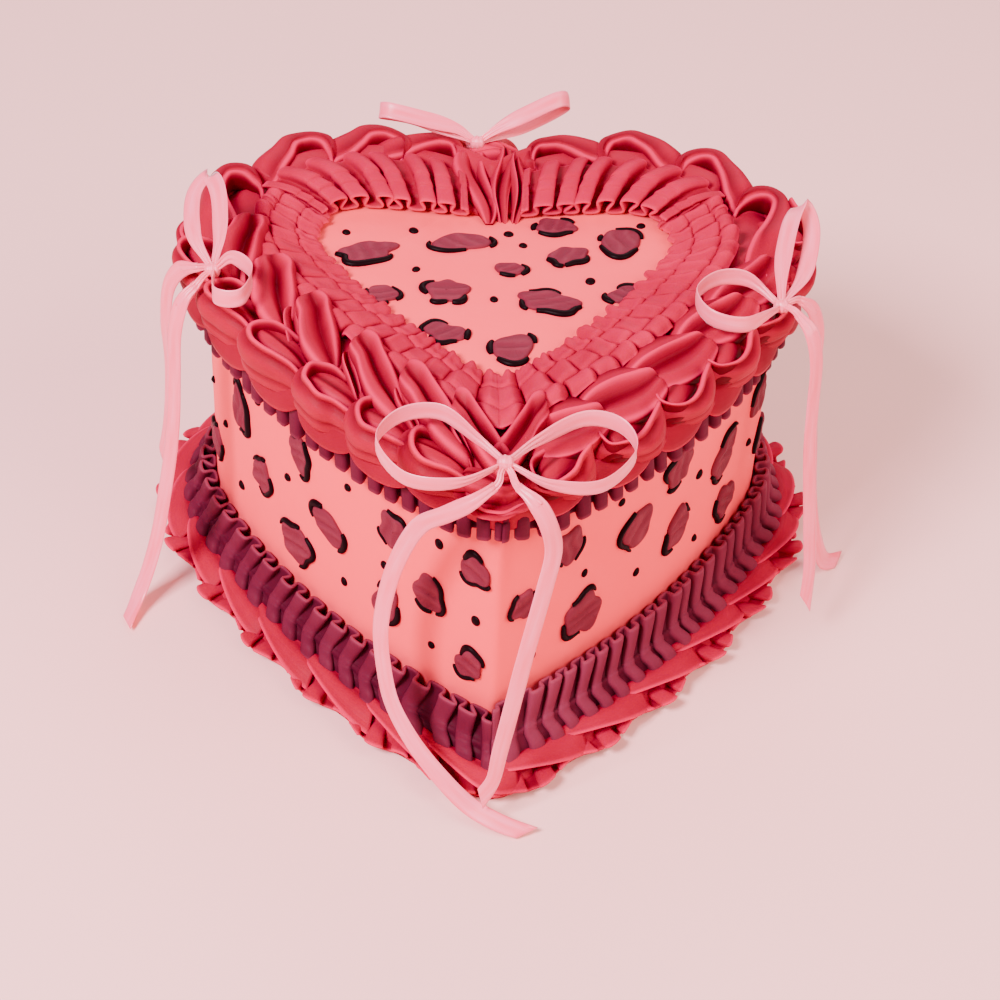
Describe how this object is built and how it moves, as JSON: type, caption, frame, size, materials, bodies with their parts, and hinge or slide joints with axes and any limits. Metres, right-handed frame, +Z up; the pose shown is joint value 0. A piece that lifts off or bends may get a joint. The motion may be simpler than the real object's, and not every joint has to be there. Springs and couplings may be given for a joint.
{
  "type": "heart shaped celebration cake",
  "caption": "Heart shaped layer cake in pink icing with plum leopard spots, hot pink and plum piped ruffle borders at rim and base, and satin ribbon bows.",
  "frame": {"origin": "middle of the standing pieces' box, at the level the cake stands on", "axes": "+Z up, -Y from the middle to the heart's front tip, +X to the right seen from the front"},
  "size_m": [0.2703, 0.2561, 0.1509],
  "materials": {
    "body_icing": "smooth soft buttercream",
    "hot_pink_icing": "soft satin buttercream",
    "plum_icing": "soft matt buttercream",
    "ribbon": "satin"
  },
  "bodies": {
    "root": {"cake": "body_icing", "cleft_petals": "hot_pink_icing", "top_border_left": "hot_pink_icing", "inner_ruffle_left": "hot_pink_icing", "under_frill_left": "plum_icing", "plum_base_left": "plum_icing", "pink_base_left": "hot_pink_icing", "top_border_right": "hot_pink_icing", "inner_ruffle_right": "hot_pink_icing", "under_frill_right": "plum_icing", "plum_base_right": "plum_icing", "pink_base_right": "hot_pink_icing", "bow_front": "ribbon", "bow_left": "ribbon", "bow_right": "ribbon", "bow_back": "ribbon", "tail_front_left": "ribbon", "tail_front_right": "ribbon", "tail_left_front": "ribbon", "tail_left_back": "ribbon", "tail_right_front": "ribbon", "tail_right_back": "ribbon", "tail_back_left": "ribbon", "tail_back_right": "ribbon"}
  },
  "joints": []
}
